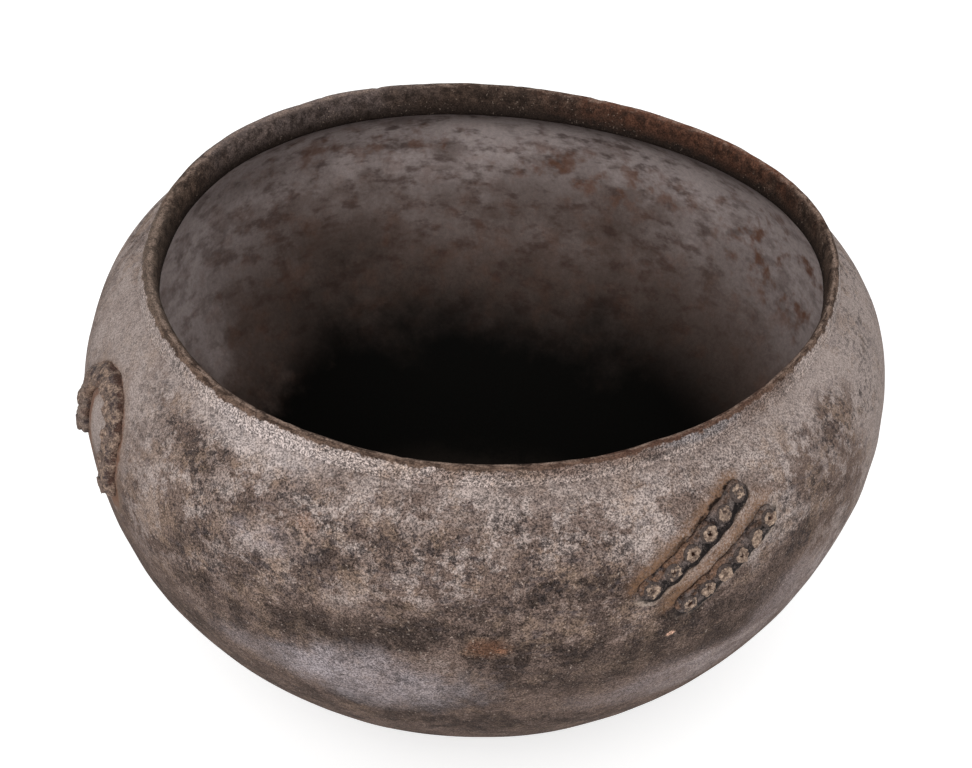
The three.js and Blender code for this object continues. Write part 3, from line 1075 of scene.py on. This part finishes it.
def horseshoe_reach_group():
    """How far a spot lies beyond the edge of a horseshoe."""
    group, inside, out = new_group("horseshoe reach", ["Across", "Up"], ["Beyond"])
    leg = (horseshoe_length - pi * horseshoe_radius) / 2
    above = calc(group, "DIVIDE", calc(group, "MAXIMUM", inside["Up"], 0.0), horseshoe_flatness)
    across_squared = times(group, inside["Across"], inside["Across"])
    reach = calc(group, "SQRT", calc(group, "MULTIPLY_ADD", above, above, across_squared))
    side = minus(group, reach, horseshoe_radius)
    below = times(group, inside["Up"], -1.0)
    past = calc(group, "MAXIMUM", minus(group, below, leg), 0.0)
    reach = calc(group, "SQRT", calc(group, "MULTIPLY_ADD", past, past, times(group, side, side)))
    group.links.new(minus(group, reach, strip_width / 2), out["Beyond"])
    return group


def stain_and_shade_wall(material):
    """Adds the stain and the painted shade round the strips to the wall's own colour."""
    tree = material.node_tree
    shader = tree.nodes["Principled BSDF"]
    colour = shader.inputs["Base Color"].links[0].from_socket
    place = node(tree, "TexCoord").outputs["Object"]
    turn = turn_and_height(tree, place)[0]
    up_wall = mark(tree, "up_wall")
    outside = minus(tree, 1.0, mark(tree, "inside"))
    ragged = speckle(tree, place, 4, 5, 0.75)
    patchy = soft_step(tree, speckle(tree, place, 6, 4, 0.7), 0.36, 0.58, 0.3, 1.0)
    broken = soft_step(tree, speckle(tree, place, 7, 4, 0.7), 0.42, 0.54, 0.1, 1.0)
    grainy = soft_step(tree, speckle(tree, place, 0.8, 2, 0.8), 0.38, 0.58, 0.35, 1.0)

    def motif_spot(motif_turn, below_neck):
        motif_height = neck_height - below_neck
        turned = calc(tree, "WRAP", minus(tree, turn, motif_turn), -180.0, 180.0)
        across = times(tree, turned, radians(outside_radius(motif_height)))
        return {"Across": across, "Up": minus(tree, up_wall, wall_length(motif_height))}

    def paint(colour, masks, strength, paint_tone):
        share = outside
        for mask in masks:
            share = times(tree, share, mask)
        return blend(tree, times(tree, share, strength), colour, paint_tone)

    for motif_turn in pair_turns.values():
        spot = motif_spot(motif_turn, pair_below_neck)
        for (_, offset, shift, length), (crevice_shade_share, dusty_end, rust_reach) in zip(pair_bars, bar_stains):
            bar = use_group(tree, bar_reach, {**spot, "Offset": offset, "Shift": shift, "Length": length})
            beyond = sway(tree, bar["Beyond"], ragged, 4.0)
            above = soft_step(tree, bar["Side"], 0.5, 3.5)
            below = soft_step(tree, bar["Side"], 0.0, -3.0)
            rust = [soft_step(tree, beyond, rust_reach, 0.0), above, grainy]
            colour = paint(colour, rust, 0.8, tone(134, 102, 78))
            # the black crevice along the upper edge of each bar is painted shade
            deep = soft_step(tree, bar["Along"], -0.7, 0.2, 0.2, 0.95)
            crevice_shade = [soft_step(tree, beyond, 0.7, -0.3), above, broken, deep]
            colour = paint(colour, crevice_shade, crevice_shade_share, tone(26, 21, 19))
            dusted = soft_step(tree, times(tree, bar["Along"], dusty_end), 0.0, 0.8, 0.25, 0.9)
            pale = [soft_step(tree, beyond, 3.4, 2.4), below, patchy, grainy, dusted]
            colour = paint(colour, pale, 1.0, tone(178, 162, 150))
            # a dark band just below each bar: painted shadow of the strip on the wall
            colour = paint(colour, [soft_step(tree, beyond, 2.2, 1.2), below], 0.8, tone(40, 35, 34))
    for motif_turn in horseshoe_turns.values():
        shoe = use_group(tree, horseshoe_reach, motif_spot(motif_turn, horseshoe_below_neck))
        beyond = sway(tree, shoe["Beyond"], ragged, 3.0)
        colour = paint(colour, [soft_step(tree, beyond, 7.0, 0.5)], 0.45, tone(150, 128, 112))
        colour = paint(colour, [soft_step(tree, beyond, 3.2, 1.6), patchy], 0.7, tone(116, 77, 57))
    tree.links.new(colour, shader.inputs["Base Color"])


bar_reach = bar_reach_group()
horseshoe_reach = horseshoe_reach_group()
stain_and_shade_wall(wall_finish)


# Floor and light. A plain pale floor that runs out of sight, one broad soft lamp above to the left
# and an even pale sky.
floor_drop = 0.3  # keeps the floor clear of the flat patch that stands on it
floor_half_width = 6
floor_glow = 0.55  # what the floor shines by itself to the camera, so that it stays pale to its far edge
floor_grey = 0.8
sky_strength = 0.72
lamp_width = 1.5
lamp_power = 16
lamp_place = Vector((-0.2, -1.55, 1.12))

floor_mesh = bmesh.new()
bmesh.ops.create_grid(floor_mesh, x_segments=1, y_segments=1, size=floor_half_width)
bmesh.ops.translate(floor_mesh, verts=floor_mesh.verts, vec=(0, 0, -floor_drop * mm))
floor_data = bpy.data.meshes.new("floor")
floor_mesh.to_mesh(floor_data)
floor_mesh.free()
floor = bpy.data.objects.new("floor", floor_data)
scene.collection.objects.link(floor)

floor_paint = bpy.data.materials.new("floor paint")
floor_paint.use_nodes = True
floor_tree = floor_paint.node_tree
floor_shader = floor_tree.nodes["Principled BSDF"]
floor_shader.inputs["Base Color"].default_value = (floor_grey, floor_grey, floor_grey, 1)
for label, value in (("Roughness", 1.0), ("Specular IOR Level", 0.0), ("Emission Strength", 1.0)):
    floor_shader.inputs[label].default_value = value
rays = node(floor_tree, "LightPath").outputs
seen = calc(floor_tree, "MAXIMUM", rays["Is Camera Ray"],
            calc(floor_tree, "MAXIMUM", rays["Is Glossy Ray"], rays["Is Transmission Ray"]))
glow = blend(floor_tree, times(floor_tree, seen, floor_glow), (0, 0, 0, 1), (1, 1, 1, 1))
floor_tree.links.new(glow, floor_shader.inputs["Emission Color"])
floor_data.materials.append(floor_paint)

world = bpy.data.worlds.new("sky")
world.use_nodes = True
sky = world.node_tree.nodes["Background"].inputs
sky["Color"].default_value = (1, 1, 1, 1)
sky["Strength"].default_value = sky_strength
scene.world = world

lamp_data = bpy.data.lights.new("soft lamp", "AREA")
lamp_data.shape = "DISK"
lamp_data.size = lamp_width
lamp_data.energy = lamp_power
lamp = bpy.data.objects.new("soft lamp", lamp_data)
lamp.matrix_world = Matrix.Translation(lamp_place) @ lamp_place.to_track_quat("Z", "Y").to_matrix().to_4x4()
scene.collection.objects.link(lamp)
